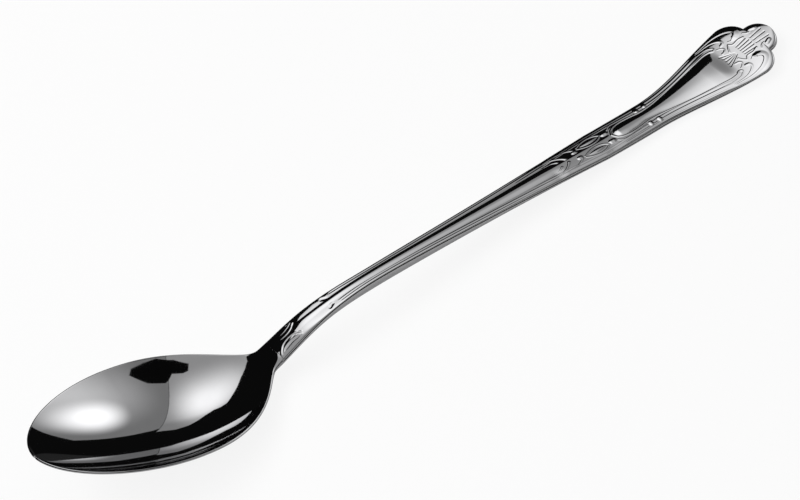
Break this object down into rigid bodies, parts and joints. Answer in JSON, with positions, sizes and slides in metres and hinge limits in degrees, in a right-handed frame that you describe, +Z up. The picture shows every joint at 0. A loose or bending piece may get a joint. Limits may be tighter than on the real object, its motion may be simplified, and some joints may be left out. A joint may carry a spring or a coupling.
{
  "type": "serving spoon",
  "caption": "Polished stainless hollow-handle serving spoon with a deep pointed-oval bowl, a slim ridged stem and a flared ornamental handle end.",
  "frame": {"origin": "bottom centre of the bounding box, on the table plane the spoon rests on", "axes": "+X along the spoon from the bowl's lip to the handle's end, +Z up from the table, +Y across the bowl"},
  "size_m": [0.33, 0.0604, 0.0325],
  "materials": {
    "polished_steel": "mirror-polished stainless steel",
    "handle_cement": "matt set cement",
    "silver_braze": "polished silver braze"
  },
  "bodies": {
    "root": {"bowl": "polished_steel", "handle_front": "polished_steel", "handle_back": "polished_steel", "handle_filler": "handle_cement", "neck_braze": "silver_braze", "seam_braze": "silver_braze"}
  },
  "joints": []
}
